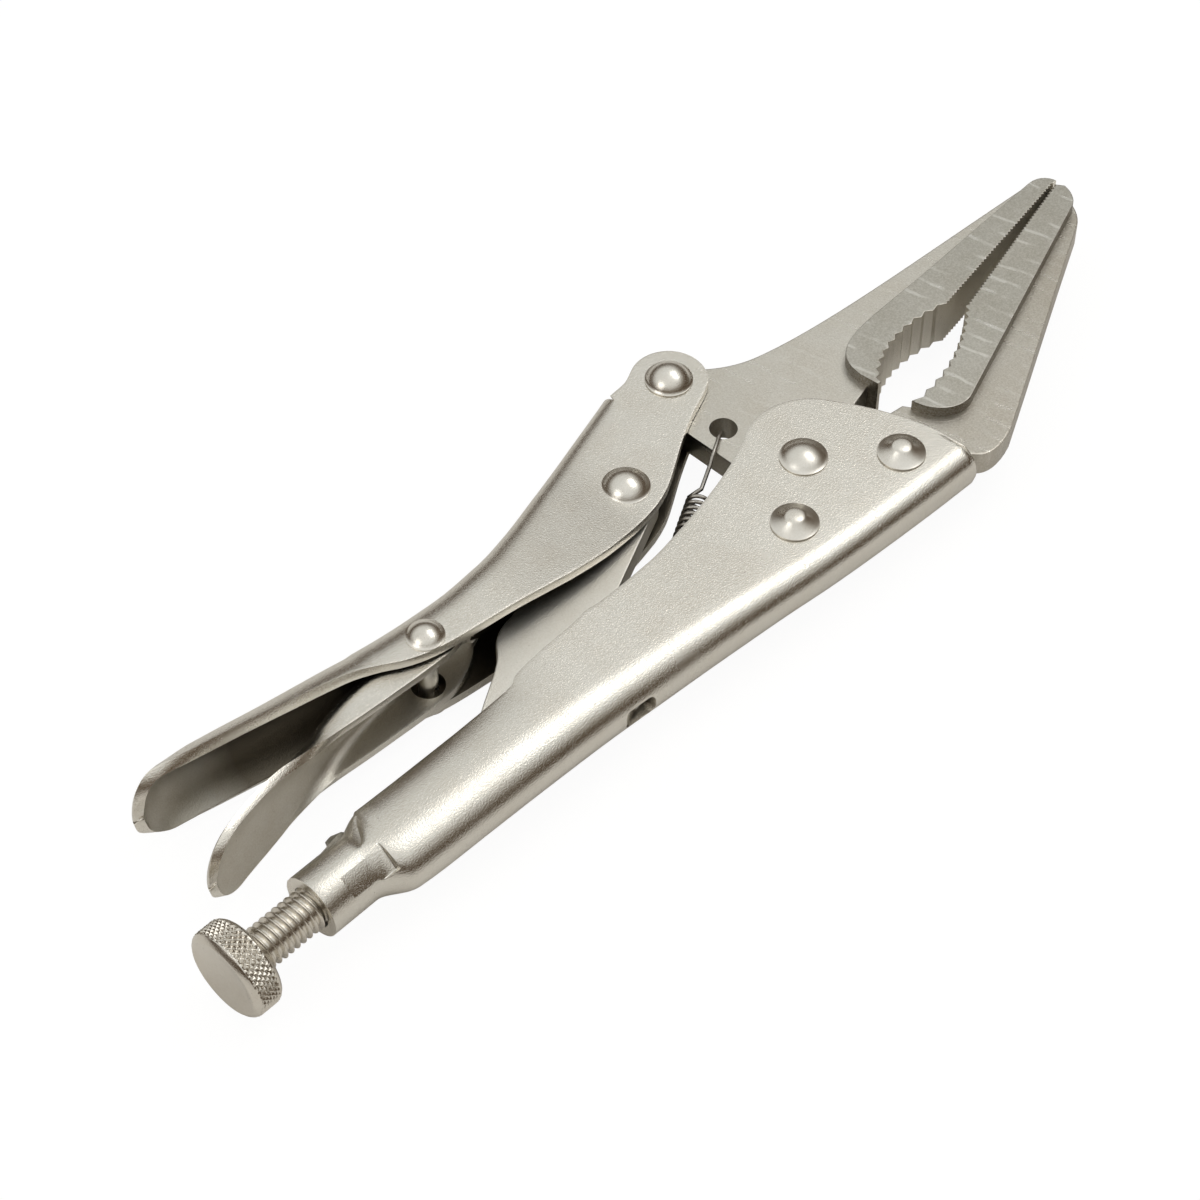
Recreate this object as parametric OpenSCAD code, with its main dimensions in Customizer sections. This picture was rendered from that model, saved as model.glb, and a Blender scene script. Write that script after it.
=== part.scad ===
// Long-nose locking pliers, lying flat and locked shut.
// The outlines are drawn in the tool's own plane: the origin there is the jaw pivot, +X runs along
// the adjusting screw towards the jaws, +Y points to the lever handle and Z is the pivot axis.
// place() then sets the tool on its lower rim, with the origin under the middle of the whole box.

/* [Sheet metal] */
// Sheet thickness of both handles
sheet = 1.4; // [1.3:0.1:1.4]
// Sheet thickness of the release lever
trigger_sheet = 1.2; // [1:0.1:1.2]
// Half the width of both handles over the pivots
cheek_half = 3.6; // [3.6:0.1:3.7]

/* [Jaws] */
// Thickness of the jaws' tails and outer flanks
tail_t = 4; // [3.8:0.1:4]
// Thickness of the raised gripping noses
nose_t = 7.5; // [6.6:0.1:7.6]
// Pitch of the coarse teeth in the throat
coarse_pitch = 1.78; // [1.4:0.02:2.2]
// Depth of the coarse teeth
coarse_depth = 0.55; // [0.3:0.05:0.7]
// Number of fine serrations along each nose
fine_count = 46; // [20:2:60]
// Depth of the fine serrations
fine_depth = 0.14; // [0.05:0.01:0.2]

/* [Rivets] */
// Shank radius of the five main rivets
rivet_r = 2; // [1.8:0.1:2.1]
// Head radius of the five main rivets
head_r = 3.3; // [3:0.1:3.4]
// Shank radius of the release lever's rivet
small_rivet_r = 1.4; // [1.2:0.1:1.5]
// Head radius of the release lever's rivet
small_head_r = 2.6; // [2.2:0.1:2.7]
// Radial running clearance round every pivot
running = 0.05; // [0.03:0.01:0.08]

/* [Adjusting screw] */
// Outside radius of the screw thread
thread_r = 2.9; // [2.7:0.05:2.9]
// Thread pitch
thread_pitch = 1; // [0.8:0.1:1.25]
// Radius of the knob
knob_r = 6.3; // [5.5:0.1:6.5]
// Length of the knob
knob_l = 4.5; // [4:0.1:6]
// Outside radius of the handle's threaded barrel
barrel_r = 4.4; // [4.2:0.1:4.4]

/* [Toggle link and spring] */
// Thickness of the toggle link
link_t = 3.4; // [3:0.1:3.4]
// Outside radius of the spring coil
coil_r = 1.85; // [1.5:0.05:1.9]
// Spring wire radius
wire_r = 0.3; // [0.25:0.01:0.32]
// Number of turns in the coil
coil_turns = 22; // [16:1:26]

/* [Hidden] */
$fn = 48;

// Pivots and rivets in the tool's plane
jaw_pivot = [0, 0];
lever_pivot = [-2.13, 22.74];
link_pivot = [-20.3, 13.45];
release_pivot = [-58.06, 12.6];
front_rivet = [9.69, -8.91];
rear_rivet = [-9.46, -6.9];

// Screw and barrel
screw_y = -3.9;
knob_end_x = -108;
barrel_end_x = -93.6;
screw_tip_x = -66;
shoulder_x = -82;

// Link nose, which bears on the screw's tip: the open pivot of the four-bar linkage
nose_at = [-60.5, screw_y];
nose_r = 3;

// Spring hole in the moving jaw and the tab in the handle's spine
spring_hole = [-2.5, 12.2];
spring_hole_r = 1.95;
tab_at = [-43.1, -9.3];
coil_from = 0.24;
coil_to = 0.845;

jaw_hub_r = 6.2;
ear_r = 5.4;
lift = 7.93;
middle = [-21.35, 5.75];

steel = [0.74, 0.72, 0.68];
jaw_grey = [0.66, 0.65, 0.6];
bright = [0.8, 0.79, 0.76];
dark_wire = [0.3, 0.29, 0.27];

// ---------- helpers ----------

function mix(a, b, t) = a + (b - a) * t;

// Points on a cubic curve from p to s, with q and r as handles, without the last point
function curve(p, q, r, s, n = 6) =
    [for (i = [0 : n - 1]) let (t = i / n, u = 1 - t)
        u * u * u * p + 3 * u * u * t * q + 3 * u * t * t * r + t * t * t * s];

// Points on an arc round c, from angle a to angle b
function arc(c, r, a, b, n = 8) =
    [for (i = [0 : n]) let (w = mix(a, b, i / n)) c + r * [cos(w), sin(w)]];

// Cross-section ring of a folded sheet at x. The fold's outside is at spine, the free rims are at
// rim, and half is the half width at the rims. A channel deeper than bend has two bends of that
// radius; a shallower one is one round dish from rim to rim.
bend_steps = 5;
lip = 0.1;
function ring(x, rim, spine, half, bend, t) = let (
        d = abs(spine - rim),
        dir = rim > spine ? 1 : -1,
        dish = d < bend,
        r = dish ? max(half, (half * half + d * d) / (2 * d)) : min(bend, half - 0.05),
        full = dish || d < r + lip ? acos(max(-1, 1 - (d - lip / 2) / r)) : 90,
        out = full < 90 ? lip / 2 : d - r,
        flat = max(half - r, 0) + (dish ? 0.03 : 0),
        side = function (rr, s) [for (i = [0 : bend_steps])
            let (w = full * i / bend_steps) [x, spine + dir * (r - rr * cos(w)), s * (flat + rr * sin(w))]],
        tip = function (rr, s) [[x, spine + dir * (r - rr * cos(full) + out * sin(full)),
            s * (flat + rr * sin(full) + out * cos(full))]],
        back = function (p) [for (i = [len(p) - 1 : -1 : 0]) p[i]])
    concat(tip(r, 1), back(side(r, 1)), side(r, -1), tip(r, -1),
        tip(r - t, -1), back(side(r - t, -1)), side(r - t, 1), tip(r - t, 1));

// Solid through a list of rings, each with an outer half and an inner half of equal length
module sheet_loft(rings) {
    n = len(rings[0]);
    m = len(rings);
    polyhedron(
        points = [for (r = rings) each r],
        faces = concat(
            [for (i = [0 : m - 2], j = [0 : n - 1]) let (k = (j + 1) % n)
                [(i + 1) * n + k, i * n + k, i * n + j]],
            [for (i = [0 : m - 2], j = [0 : n - 1]) let (k = (j + 1) % n)
                [(i + 1) * n + j, (i + 1) * n + k, i * n + j]],
            [for (j = [0 : n / 2 - 2]) [n - 1 - j, j, j + 1]],
            [for (j = [0 : n / 2 - 2]) [n - 2 - j, n - 1 - j, j + 1]],
            [for (j = [0 : n / 2 - 2]) let (b = (m - 1) * n) [b + n - 1 - j, b + j + 1, b + j]],
            [for (j = [0 : n / 2 - 2]) let (b = (m - 1) * n) [b + n - 1 - j, b + n - 2 - j, b + j + 1]]));
}

// Round bar of radius r along a list of points, with its sides kept level with Z
module wire(path, r, sides = 6) {
    m = len(path);
    unit = function (v) v / norm(v);
    along = [for (i = [0 : m - 1]) unit(path[min(i + 1, m - 1)] - path[max(i - 1, 0)])];
    rings = [for (i = [0 : m - 1])
        let (a = unit(cross(along[i], [0.31, -0.55, 0.1])), b = cross(along[i], a))
        for (k = [0 : sides - 1]) let (w = 360 * k / sides) path[i] + r * (cos(w) * a + sin(w) * b)];
    polyhedron(
        points = rings,
        faces = concat(
            [[for (k = [0 : sides - 1]) k]],
            [[for (k = [sides - 1 : -1 : 0]) (m - 1) * sides + k]],
            [for (i = [0 : m - 2], k = [0 : sides - 1]) let (l = (k + 1) % sides)
                [i * sides + k, (i + 1) * sides + l, i * sides + l]],
            [for (i = [0 : m - 2], k = [0 : sides - 1]) let (l = (k + 1) % sides)
                [i * sides + k, (i + 1) * sides + k, (i + 1) * sides + l]]));
}

// Everything is drawn in the tool's plane and then set down on the floor
module place() {
    translate([-middle[0], -middle[1], lift]) children();
}

// Plate of thickness t, centred on the tool's plane
module plate(t) {
    linear_extrude(t, center = true) children();
}

module through(at, r) {
    translate([at[0], at[1], -20]) cylinder(r = r, h = 40);
}

// Rivet: shank of radius r between two heads, whose profile is a list of [radius, height]
module rivet(at, r, seat, profile) {
    translate([at[0], at[1], 0]) {
        cylinder(r = r, h = 2 * seat + 0.2, center = true);
        for (s = [0, 1])
            mirror([0, 0, s]) translate([0, 0, seat]) rotate_extrude() polygon(profile);
    }
}

// Profile of a domed head, from the seat to the crown
function dome(r, h) = let (
        ball = (r * r + h * h) / (2 * h), reach = asin(min(1, r / ball)))
    concat([[0, 0], [r, 0]],
        [for (i = [1 : 7]) let (w = reach * (1 - i / 8)) [ball * sin(w), h - ball * (1 - cos(w))]],
        [[0, h]]);

// Profile of a coned head with a small crown
function cone_head(r, h) =
    [[0, 0], [r, 0], [r, 0.15 * h], [0.5 * r, 0.72 * h], [0.4 * r, 0.88 * h], [0.2 * r, 0.98 * h], [0, h]];

// ---------- fixed handle ----------

handle_rim = concat(
    [[shoulder_x + 0.3, 1.0], [-76, 0.85], [-66, 0.7], [-55.5, 0.4], [-53.4, 1.25]],
    curve([-50, 1.7], [-38, 2.3], [-30, 1.2], [-22, 2.9], 5),
    curve([-22, 2.9], [-14, 4.4], [-8, 5.6], [-3.4, 7.8], 4),
    arc([1.9, 0], 9.4, 123, 30, 8),
    curve([10.4, 4.1], [12.8, 0.4], [16.2, -6], [16.6, -13.9], 6),
    [[16.6, -13.9]]);

function handle_spine(x) = lookup(x, [[-82, -10.7], [-70, -11.2], [-60, -11.5], [-50, -11.9],
    [-40, -12.6], [-30, -13.3], [-20, -14.2], [-10, -15.2], [0, -15.9], [10, -16.4], [17, -16.6]]);
function handle_half(x) = lookup(x, [[-82, barrel_r], [-58, barrel_r], [-30, 4], [-14, cheek_half],
    [17, cheek_half]]);
function handle_bend(x) = lookup(x, [[-60, 4.2], [-42, 4], [-25, 3.2], [-8, 2.1], [17, 2]]);

module shoulder(grow) {
    hull() {
        for (y = [-6.3, -3.4])
            translate([shoulder_x, y, 0]) rotate([0, 90, 0]) cylinder(r = barrel_r + grow, h = 0.3, $fn = 32);
        translate([shoulder_x - 4.6, screw_y, 0])
            rotate([0, 90, 0]) cylinder(r = barrel_r + grow, h = 0.3, $fn = 32);
    }
}

slot_x = -44.3;
slot_l = 5;
slot_w = 3;
module spring_tab() {
    translate([slot_x - slot_l / 2 - 0.6, -11.95, 0])
        rotate([0, 0, 24]) translate([0, 0, -slot_w / 2 + 0.2]) cube([slot_l - 1, 1, slot_w - 0.4]);
}

module fixed_handle() {
    color(steel) place() {
        difference() {
            union() {
                sheet_loft([for (p = handle_rim)
                    ring(p[0], p[1], handle_spine(p[0]), handle_half(p[0]), handle_bend(p[0]), sheet)]);
                difference() {
                    shoulder(0);
                    shoulder(0.2 - sheet);
                    translate([shoulder_x - 0.5, -6.3, -barrel_r + sheet])
                        cube([2, 3, 2 * (barrel_r - sheet)]);
                }
                translate([barrel_end_x, screw_y, 0])
                    rotate([0, 90, 0]) cylinder(r = barrel_r, h = shoulder_x - 4.3 - barrel_end_x);
            }
            translate([barrel_end_x - 1, screw_y, 0])
                rotate([0, 90, 0]) cylinder(r = thread_r + running + 0.05, h = 12);
            through(jaw_pivot, rivet_r);
            through(front_rivet, rivet_r);
            through(rear_rivet, rivet_r);
            translate([slot_x - slot_l / 2, -15, -slot_w / 2]) cube([slot_l, 5.4, slot_w]);
        }
        spring_tab();
    }
}

// ---------- jaws ----------

// Coarse teeth along a list of guide points: each step of the guide becomes a crest and a valley
function toothed(path, depth, side) = [for (i = [0 : len(path) - 1])
    let (a = path[max(i - 1, 0)], b = path[min(i + 1, len(path) - 1)], v = (b - a) / norm(b - a))
    path[i] + (i % 2) * side * depth * [v[1], -v[0]]];

function coarse_steps(length) = 2 * round(length / coarse_pitch);

fixed_throat = curve([36.6, 2.5], [33, 0], [28, -3.7], [18.3, -3.9], coarse_steps(19.5));
moving_throat = curve([17.6, 1.6], [21, 5.4], [28, 6.9], [35, 4.65], coarse_steps(18.5));

function fine_line(a, b) = [for (i = [0 : 2 * fine_count]) mix(a, b, i / (2 * fine_count))];

fixed_nose = concat(
    toothed(fine_line([64.4, 9.2], [37, 2.65]), fine_depth, -1),
    toothed(fixed_throat, coarse_depth, -1),
    [[17.9, -3.7]],
    curve([17.9, -3.9], [18.2, -6.6], [20.6, -9.6], [24, -9]),
    [[24, -9], [62.6, 4.5]],
    curve([62.6, 4.5], [64.3, 5.1], [65.2, 6.8], [65.3, 8.6], 5),
    [[65.3, 8.6]]);

fixed_flank = concat(
    [[64, 8.4], [37, 1.2], [30, -3.2], [19, -4.6], [17.6, -2.4], [14.8, -2]],
    [[6.2, -1.5], [-6.4, -2.4]],
    [[-9.4, -2.7]],
    arc(rear_rivet, 4.2, 95, 175, 5),
    [[-13.7, -10.5], [-11.6, -13.1], [0, -14.2], [10, -14.7], [17, -14.85]],
    curve([17.4, -15.1], [18.2, -16.6], [20.4, -17.3], [24.6, -15.8], 5),
    [[24.6, -15.8], [61.6, 2.5]],
    curve([61.6, 2.5], [63.6, 3.6], [64.8, 5.6], [65, 7.8], 5));

module fixed_jaw() {
    color(jaw_grey) place() difference() {
        union() {
            plate(tail_t) difference() {
                polygon(fixed_flank);
                circle(r = jaw_hub_r + 0.4, $fn = 64);
            }
            plate(nose_t) polygon(fixed_nose);
        }
        through(front_rivet, rivet_r);
        through(rear_rivet, rivet_r);
    }
}

moving_nose = concat(
    toothed(moving_throat, coarse_depth, -1),
    toothed(fine_line([35.3, 4.7], [64.4, 9.4]), fine_depth, -1),
    curve([65.2, 9.5], [65, 10.8], [64, 12], [62, 12], 5),
    [[62, 12], [45, 11.3]],
    curve([30, 10.8], [22, 10.6], [17.2, 10.4], [16.7, 5], 7),
    [[16.7, 4.6], [17.1, 1]]);

moving_flank = concat(
    [[13.3, 2.4], [17.4, 3.4], [20, 6], [28, 7.4], [36, 6.2], [64, 10.4]],
    curve([64.4, 10.9], [64, 12.4], [63.2, 13], [61.4, 13.05], 4),
    curve([61.4, 13.05], [40, 14.6], [22, 15.2], [11.2, 17.9], 6),
    curve([11.2, 17.9], [7.4, 18.8], [5, 20.6], [3.1, 22.4], 5),
    [[2.5, 23]],
    arc(lever_pivot, 4.65, 4, 178, 10),
    [[-6.5, 15], [-6.4, 7], [-6.2, 0]]);

module moving_jaw() {
    color(jaw_grey) place() difference() {
        union() {
            plate(tail_t) {
                polygon(moving_flank);
                circle(r = jaw_hub_r, $fn = 64);
                polygon([[0, 5], [13.3, 2.4], [6, -0.8], [0, 0]]);
            }
            plate(nose_t) polygon(moving_nose);
        }
        through(jaw_pivot, rivet_r + running);
        through(lever_pivot, rivet_r + running);
        through(spring_hole, spring_hole_r);
    }
}

// ---------- lever handle ----------

lever_front_x = -10;
lever_rim = concat(
    [[lever_front_x, 13.3], [-13.5, 11.2]],
    curve([-17, 9.1], [-21.5, 6.7], [-31, 6.4], [-41, 7.7], 6),
    [[-41, 7.7], [-46, 8.3], [-52, 9]],
    curve([-57, 9.6], [-62.5, 10.2], [-66, 14.2], [-72, 15.9], 6),
    [[-72, 15.9], [-77, 17.1], [-82, 18.3], [-87, 19.4], [-91, 20.3], [-94.5, 21.2], [-97, 21.8],
     [-98.8, 21.7], [-99.8, 21.3], [-100.3, 20.8]]);

function lever_spine(x) = lookup(x, [[-100.3, 21.3], [-99.8, 22], [-98.8, 22.8], [-97, 23.5],
    [-94.5, 24.1], [-91, 24.2], [-87, 23.6], [-80, 22.3], [-70, 20.7], [-62, 19.3], [-56, 18.5],
    [-50, 18], [-44, 18.3], [-38, 19.4], [-30, 21.7], [-20, 24.8], [-10, 27.7]]);
function lever_half(x) = lookup(x, [[-100.3, 1.6], [-99.8, 2.9], [-98.8, 4.3], [-97, 5.5], [-94.5, 6.4],
    [-91, 6.75], [-85, 6.8], [-60, 6.6], [-47, 6.4], [-40, 5.8], [-30, 4.7], [-21, 3.75], [-10, cheek_half]]);
function lever_bend(x) = lookup(x, [[-66, 6.5], [-60, 5.8], [-50, 4.2], [-30, 3], [-10, 2.2]]);

module ear() {
    polygon(concat(
        [[lever_front_x - 0.4, 26.5], [lever_front_x - 0.4, 13.55], [-5, 15.85], [0.6, 18.1]],
        arc(lever_pivot, ear_r, -50, 115, 12),
        [[-7, 26.7]]));
}

module lever_handle() {
    color(steel) place() difference() {
        union() {
            sheet_loft([for (p = lever_rim)
                ring(p[0], p[1], lever_spine(p[0]), lever_half(p[0]), lever_bend(p[0]), sheet)]);
            for (s = [-1, 1])
                translate([0, 0, s * (cheek_half - sheet / 2)]) plate(sheet) ear();
        }
        through(lever_pivot, rivet_r);
        through(link_pivot, rivet_r);
        through(release_pivot, small_rivet_r);
    }
}

// ---------- toggle link ----------

link_shape = concat(
    arc(link_pivot, 4.4, 76, -64, 10),
    [[-32, 3.35], [-46, -2.95]],
    curve([-46, -2.95], [-51, -5.2], [-54, -7.4], [-58.5, -6.7], 5),
    arc(nose_at, nose_r, -65, -205, 8),
    curve([-63, -1.6], [-60.5, 1.9], [-53, 4.4], [-51, 7], 5),
    curve([-51, 7], [-49.7, 8.9], [-47.6, 10], [-44.8, 9.9], 5));

module toggle_link() {
    color(steel) place() difference() {
        plate(link_t) polygon(link_shape);
        through(link_pivot, rivet_r + running);
    }
}

// ---------- release lever ----------

release_rim = concat(
    [[-48.4, 13.6], [-49.3, 12.7]],
    curve([-50.6, 11.7], [-53, 10.2], [-55, 9.4], [-61, 9.5], 5),
    [[-61, 9.5], [-66, 9.8], [-71, 10.1], [-76, 10.5], [-80.5, 10.8], [-84, 10.9], [-87, 10.5],
     [-90, 10], [-93, 9.4], [-96, 8.6], [-98.4, 7.8], [-99.8, 7.2], [-100.4, 6.8]]);
function release_spine(x) = lookup(x, [[-100.4, 7.4], [-99.8, 8.1], [-98.4, 9.1], [-96, 10.2],
    [-93, 11], [-90, 11.6], [-87, 12], [-84, 12.6], [-80.5, 13.4], [-76, 14.4], [-71, 15.2],
    [-62, 15.9], [-56, 15.9], [-50.6, 15.4], [-48.4, 14.9]]);
function release_half(x) = lookup(x, [[-100.4, 1.9], [-99.8, 3.3], [-98.4, 4.8], [-96, 5.8],
    [-93, 6.2], [-89, 6.1], [-84, 5.5], [-80.5, 5.1], [-76, 4.8], [-48, 4.7]]);

function release_bend(x) = lookup(x, [[-82, 4.8], [-76, 3.8], [-70, 2.9], [-60, 2.2], [-48, 2.2]]);

module release_lever() {
    color(steel) place() difference() {
        union() {
            sheet_loft([for (p = release_rim)
                ring(p[0], p[1], release_spine(p[0]), release_half(p[0]), release_bend(p[0]),
                    trigger_sheet)]);
            translate([-49.8, 15.1, 0])
                rotate([0, 0, -62]) translate([0, -0.6, -2]) cube([2.2, trigger_sheet, 4]);
        }
        through(release_pivot, small_rivet_r + running);
    }
}

// ---------- adjusting screw ----------

function thread_profile(from, to) = let (turns = floor((to - from) / thread_pitch))
    [for (i = [0 : turns - 1]) for (p = [[0.08, 0.62], [0.42, 0.62], [0.5, 0], [0.92, 0], [1, 0.62]])
        [thread_r - p[1], from + (i + p[0]) * thread_pitch]];

module adjusting_screw() {
    color(bright) place() translate([knob_end_x, screw_y, 0]) rotate([0, 90, 0]) rotate_extrude()
        polygon(concat(
            [[0, 0], [knob_r - 1, 0], [knob_r - 0.25, 0.35], [knob_r, 0.75],
             [knob_r, knob_l - 0.75], [knob_r - 0.3, knob_l - 0.3], [knob_r - 1, knob_l],
             [thread_r - 0.62, knob_l]],
            thread_profile(knob_l, screw_tip_x - knob_end_x - 1.2),
            [[thread_r - 0.7, screw_tip_x - knob_end_x - 1], [thread_r - 1.4, screw_tip_x - knob_end_x],
             [0, screw_tip_x - knob_end_x]]));
}

// ---------- spring ----------

steps_per_turn = 10;
spring_start = [tab_at[0], tab_at[1], 0];
spring_end = [-7.2, 9.9, 0];
spring_dir = (spring_end - spring_start) / norm(spring_end - spring_start);
spring_side = [-spring_dir[1], spring_dir[0], 0];
function on_spring(t, a, r) = mix(spring_start, spring_end, t)
    + r * (cos(a) * spring_side + sin(a) * [0, 0, 1]);

spring_path = concat(
    [[-44.4, -11.05, 0], [-43.35, -10.65, 0], [-43.12, -9.9, 0],
     on_spring(0.04, 0, 0), on_spring(coil_from - 0.03, 0, 0.2)],
    [for (i = [0 : coil_turns * steps_per_turn]) let (w = i / steps_per_turn)
        on_spring(mix(coil_from, coil_to, w / coil_turns), 360 * w, coil_r - wire_r)],
    [on_spring(coil_to + 0.03, 30, 0.4), [-8.4, 9.2, 1.6], [-6.8, 10, 2.45], [-4.4, 11.3, 2.45],
     [-3.2, 11.9, 2.1], [-2.6, 12.2, 1]]);

module jaw_spring() {
    color(dark_wire) place() wire(spring_path, wire_r);
}

// ---------- rivets ----------

module fixed_jaw_front_rivet() {
    color(bright) place() rivet(front_rivet, rivet_r, cheek_half, cone_head(head_r, 1.8));
}

module fixed_jaw_rear_rivet() {
    color(bright) place() rivet(rear_rivet, rivet_r, cheek_half, cone_head(head_r, 1.8));
}

module jaw_pivot_rivet() {
    color(bright) place() rivet(jaw_pivot, rivet_r, cheek_half, dome(head_r, 1.5));
}

module lever_jaw_rivet() {
    color(bright) place() rivet(lever_pivot, rivet_r, cheek_half, dome(head_r, 2.1));
}

module link_rivet() {
    color(bright) place() rivet(link_pivot, rivet_r, cheek_half + 0.05, dome(head_r, 1.9));
}

module release_lever_rivet() {
    color(bright) place()
        rivet(release_pivot, small_rivet_r, lever_half(release_pivot[0]) - 0.05, dome(small_head_r, 1.4));
}

fixed_handle();
fixed_jaw();
fixed_jaw_front_rivet();
fixed_jaw_rear_rivet();
jaw_pivot_rivet();
moving_jaw();
lever_handle();
lever_jaw_rivet();
link_rivet();
toggle_link();
release_lever();
release_lever_rivet();
adjusting_screw();
jaw_spring();
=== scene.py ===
import math

import bpy
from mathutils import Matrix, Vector


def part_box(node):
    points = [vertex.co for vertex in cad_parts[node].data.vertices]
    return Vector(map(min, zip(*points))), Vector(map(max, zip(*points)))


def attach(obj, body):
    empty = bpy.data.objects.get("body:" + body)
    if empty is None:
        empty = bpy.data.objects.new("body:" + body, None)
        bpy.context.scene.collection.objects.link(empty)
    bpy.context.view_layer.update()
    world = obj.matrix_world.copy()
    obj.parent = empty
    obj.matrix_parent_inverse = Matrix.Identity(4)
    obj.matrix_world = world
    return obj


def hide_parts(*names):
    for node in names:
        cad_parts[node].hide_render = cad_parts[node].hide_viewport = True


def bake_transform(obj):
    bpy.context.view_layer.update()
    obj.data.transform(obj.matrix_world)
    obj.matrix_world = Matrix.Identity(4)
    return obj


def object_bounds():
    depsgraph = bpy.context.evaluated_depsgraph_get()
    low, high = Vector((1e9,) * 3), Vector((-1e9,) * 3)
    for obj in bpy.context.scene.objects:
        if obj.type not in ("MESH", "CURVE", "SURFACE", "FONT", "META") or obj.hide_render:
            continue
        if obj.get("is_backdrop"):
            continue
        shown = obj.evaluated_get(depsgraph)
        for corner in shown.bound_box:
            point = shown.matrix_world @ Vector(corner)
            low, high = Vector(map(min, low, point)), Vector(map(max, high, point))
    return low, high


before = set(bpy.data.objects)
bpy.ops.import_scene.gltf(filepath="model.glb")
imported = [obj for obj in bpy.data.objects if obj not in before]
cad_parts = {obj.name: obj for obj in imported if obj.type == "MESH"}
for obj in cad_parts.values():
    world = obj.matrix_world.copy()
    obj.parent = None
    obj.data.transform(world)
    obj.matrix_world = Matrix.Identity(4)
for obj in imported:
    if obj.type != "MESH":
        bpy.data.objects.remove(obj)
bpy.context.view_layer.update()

MM = 0.001


def centre(node):
    """Middle of a CAD node's box."""
    low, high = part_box(node)
    return (low + high) / 2


# Everything is laid out in millimetres from the jaw pivot: x towards the jaw tips, y towards the
# lever handle, z along the pivots.
PIVOT = centre("jaw_pivot_rivet")


def at(x, y, z=0.0):
    return PIVOT + Vector((x, y, z)) * MM


def mix(a, b, t):
    return a + (b - a) * t


# ---------- workshop helpers ----------

def deselect():
    bpy.ops.object.select_all(action="DESELECT")


def choose(piece):
    """Selects one piece alone and makes it active."""
    deselect()
    piece.select_set(True)
    bpy.context.view_layer.objects.active = piece


def named(name):
    piece = bpy.context.object
    piece.name = piece.data.name = name
    return piece


def editing():
    bpy.ops.object.mode_set(mode="EDIT")


def done_editing():
    bpy.ops.object.mode_set(mode="OBJECT")


def modify(piece, kind, **settings):
    """Adds one modifier with its settings and applies it."""
    bpy.context.view_layer.objects.active = piece
    bpy.ops.object.modifier_add(type=kind)
    modifier = piece.modifiers[-1]
    for key, value in settings.items():
        setattr(modifier, key, value)
    bpy.ops.object.modifier_apply(modifier=modifier.name)


def weld(threshold=1e-6, outwards=False):
    editing()
    bpy.ops.mesh.select_all(action="SELECT")
    bpy.ops.mesh.remove_doubles(threshold=threshold)
    bpy.ops.mesh.dissolve_degenerate(threshold=1e-7)
    if outwards:
        bpy.ops.mesh.select_all(action="SELECT")
        bpy.ops.mesh.normals_make_consistent(inside=False)
    done_editing()


def smooth(piece, degrees=32, flats=False):
    """Smooth shading up to an angle; flats keeps the wide faces flat beside their rounded edges."""
    choose(piece)
    bpy.ops.object.shade_smooth_by_angle(angle=math.radians(degrees))
    if flats:
        modify(piece, "WEIGHTED_NORMAL", keep_sharp=True, weight=50)


def settle(piece):
    """Leaves the piece's place in its mesh, with the object at the origin."""
    choose(piece)
    bpy.ops.object.transform_apply(location=True, rotation=True, scale=True)


def select_faces(mesh, test):
    """Leaves the piece in edit mode with only the faces that pass the test selected."""
    editing()
    bpy.ops.mesh.select_mode(type="FACE")
    bpy.ops.mesh.select_all(action="DESELECT")
    done_editing()
    for face in mesh.polygons:
        face.select = test(face)
    editing()


def empty_slots(piece, count=3):
    """Material slots that finish_piece fills."""
    for k in range(count):
        piece.data.materials.append(None)


def open_profile(name, points):
    """Open chain of edges through the points, which are in millimetres."""
    deselect()
    bpy.ops.mesh.primitive_circle_add(vertices=len(points), fill_type="NOTHING")
    piece = named(name)
    for v, point in zip(piece.data.vertices, points):
        v.co = Vector(point) * MM
    closing = {0, len(points) - 1}
    editing()
    bpy.ops.mesh.select_mode(type="EDGE")
    bpy.ops.mesh.select_all(action="DESELECT")
    done_editing()
    for edge in piece.data.edges:
        edge.select = set(edge.vertices) == closing
    editing()
    bpy.ops.mesh.delete(type="EDGE")
    done_editing()
    return piece


def rounded_block(name, place, size, turn=(0, 0, 0), round_by=0.3, segments=3):
    deselect()
    bpy.ops.mesh.primitive_cube_add(size=1, location=place, rotation=turn)
    piece = named(name)
    piece.scale = Vector(size) * MM
    settle(piece)
    modify(piece, "BEVEL", width=round_by * MM, segments=segments)
    return piece


def cut(piece, cutter):
    """Takes the cutter's shape out of the piece."""
    modify(piece, "BOOLEAN", operation="DIFFERENCE", object=cutter, solver="EXACT")
    bpy.data.objects.remove(cutter)


def punch_hole(piece, place, r, depth=20):
    """Round hole along the pivots."""
    deselect()
    bpy.ops.mesh.primitive_cylinder_add(vertices=48, radius=r * MM, depth=depth * MM, location=place)
    punch = named(f"{piece.name}_punch")
    settle(punch)
    cut(piece, punch)


def spaced(*stretches):
    """Positions along x: each stretch is (from, to, step)."""
    xs = []
    for a, b, step in stretches:
        n = max(1, round((b - a) / step))
        xs += [mix(a, b, k / n) for k in range(n)]
    return xs + [stretches[-1][1]]


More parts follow.
